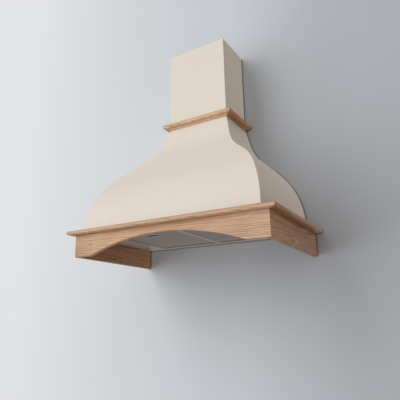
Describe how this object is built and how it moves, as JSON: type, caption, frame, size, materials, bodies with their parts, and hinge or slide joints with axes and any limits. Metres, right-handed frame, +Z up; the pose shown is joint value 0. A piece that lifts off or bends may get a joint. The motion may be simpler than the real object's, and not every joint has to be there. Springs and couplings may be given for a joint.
{
  "type": "wooden range hood cover",
  "caption": "Wall-hung range hood cover: arched oak base with bull-nosed mouldings, painted bell canopy and flue, round a steel insert with filters, lamps, buttons and blower.",
  "frame": {"origin": "on the wall plane, midway between the two hanging holes", "axes": "+Z up, +X to the right seen from the front, +Y into the wall"},
  "size_m": [0.9, 0.5416, 1],
  "materials": {
    "oak": "light oak, satin lacquer, straight grain",
    "cream_paint": "smooth satin cream paint on bent panels",
    "plywood": "bare birch plywood",
    "pine": "bare pine",
    "zinc_plate": "zinc plated",
    "grey_lacquer": "satin warm grey lacquer",
    "filter_aluminium": "satin",
    "filter_mesh": "expanded mesh",
    "black_plastic": "fine grain",
    "galvanised_sheet": "galvanised",
    "fan_plastic": "moulded",
    "steel_shaft": "ground",
    "motor_case": "satin",
    "flap_plastic": "moulded",
    "lamp_bezel": "satin",
    "lamp_lens": "frosted",
    "panel_steel": "satin",
    "button_plastic": "semi gloss"
  },
  "bodies": {
    "root": {"front_apron": "oak", "left_side_panel": "oak", "right_side_panel": "oak", "base_moulding_front": "oak", "base_moulding_left": "oak", "base_moulding_right": "oak", "collar_front": "oak", "collar_left": "oak", "collar_right": "oak", "canopy_front_panel": "cream_paint", "canopy_left_panel": "cream_paint", "canopy_right_panel": "cream_paint", "flue_front_panel": "cream_paint", "flue_left_panel": "cream_paint", "flue_right_panel": "cream_paint", "base_back_rail": "plywood", "front_ribs": "plywood", "side_ribs": "plywood", "back_frame": "plywood", "neck_frame": "plywood", "corner_blocks": "pine", "flue_stiles": "pine", "extension_stops": "pine", "hanging_plates": "zinc_plate", "tray_screws": "zinc_plate", "motor_bracket": "zinc_plate", "liner_tray": "grey_lacquer", "filter_divider": "grey_lacquer", "wiring_box": "black_plastic", "cable_gland": "black_plastic", "plenum": "galvanised_sheet", "blower_housing": "galvanised_sheet", "inlet_rings": "galvanised_sheet", "outlet_spigot": "galvanised_sheet", "flap_pin": "steel_shaft", "motor": "motor_case", "lamp_housings": "lamp_bezel", "lamp_lenses": "lamp_lens", "control_panel": "panel_steel"},
    "left_filter": {"left_filter_frame": "filter_aluminium", "left_filter_mesh": "filter_mesh", "left_latch_housing": "filter_aluminium"},
    "right_filter": {"right_filter_frame": "filter_aluminium", "right_filter_mesh": "filter_mesh", "right_latch_housing": "filter_aluminium"},
    "left_latch": {"left_filter_latch": "black_plastic"},
    "right_latch": {"right_filter_latch": "black_plastic"},
    "fan": {"impeller": "fan_plastic", "fan_shaft": "steel_shaft"},
    "front_damper": {"front_flap": "flap_plastic"},
    "rear_damper": {"rear_flap": "flap_plastic"},
    "flue_extension": {"extension_front_panel": "cream_paint", "extension_left_panel": "cream_paint", "extension_right_panel": "cream_paint"},
    "button_1": {"push_button_1": "button_plastic"},
    "button_2": {"push_button_2": "button_plastic"},
    "button_3": {"push_button_3": "button_plastic"},
    "button_4": {"push_button_4": "button_plastic"},
    "button_5": {"push_button_5": "button_plastic"}
  },
  "joints": [
    {"name": "left_filter_swing", "type": "hinge", "parent": "root", "child": "left_filter", "pos_m": [-0.1535, -0.0365, -0.4647], "axis": [1, 0, 0], "range_deg": [0, 85]},
    {"name": "left_latch_slide", "type": "slide", "parent": "left_filter", "child": "left_latch", "axis": [0, 1, 0], "range_m": [0, 0.006], "stiffness_N_per_m": 400},
    {"name": "right_filter_swing", "type": "hinge", "parent": "root", "child": "right_filter", "pos_m": [0.1535, -0.0365, -0.4647], "axis": [1, 0, 0], "range_deg": [0, 85]},
    {"name": "right_latch_slide", "type": "slide", "parent": "right_filter", "child": "right_latch", "axis": [0, 1, 0], "range_m": [0, 0.006], "stiffness_N_per_m": 400},
    {"name": "fan_spin", "type": "hinge", "parent": "root", "child": "fan", "pos_m": [0, -0.16, -0.338], "axis": [1, 0, 0], "continuous": true},
    {"name": "front_damper_lift", "type": "hinge", "parent": "root", "child": "front_damper", "pos_m": [0, -0.102, -0.1588], "axis": [-1, 0, 0], "range_deg": [0, 72]},
    {"name": "rear_damper_lift", "type": "hinge", "parent": "root", "child": "rear_damper", "pos_m": [0, -0.102, -0.1588], "axis": [1, 0, 0], "range_deg": [0, 72]},
    {"name": "flue_extension_slide", "type": "slide", "parent": "root", "child": "flue_extension", "axis": [0, 0, 1], "range_m": [0, 0.28]},
    {"name": "button_1_press", "type": "slide", "parent": "root", "child": "button_1", "axis": [0, 0, 1], "range_m": [0, 0.002], "stiffness_N_per_m": 300},
    {"name": "button_2_press", "type": "slide", "parent": "root", "child": "button_2", "axis": [0, 0, 1], "range_m": [0, 0.002], "stiffness_N_per_m": 300},
    {"name": "button_3_press", "type": "slide", "parent": "root", "child": "button_3", "axis": [0, 0, 1], "range_m": [0, 0.002], "stiffness_N_per_m": 300},
    {"name": "button_4_press", "type": "slide", "parent": "root", "child": "button_4", "axis": [0, 0, 1], "range_m": [0, 0.002], "stiffness_N_per_m": 300},
    {"name": "button_5_press", "type": "slide", "parent": "root", "child": "button_5", "axis": [0, 0, 1], "range_m": [0, 0.002], "stiffness_N_per_m": 300}
  ]
}
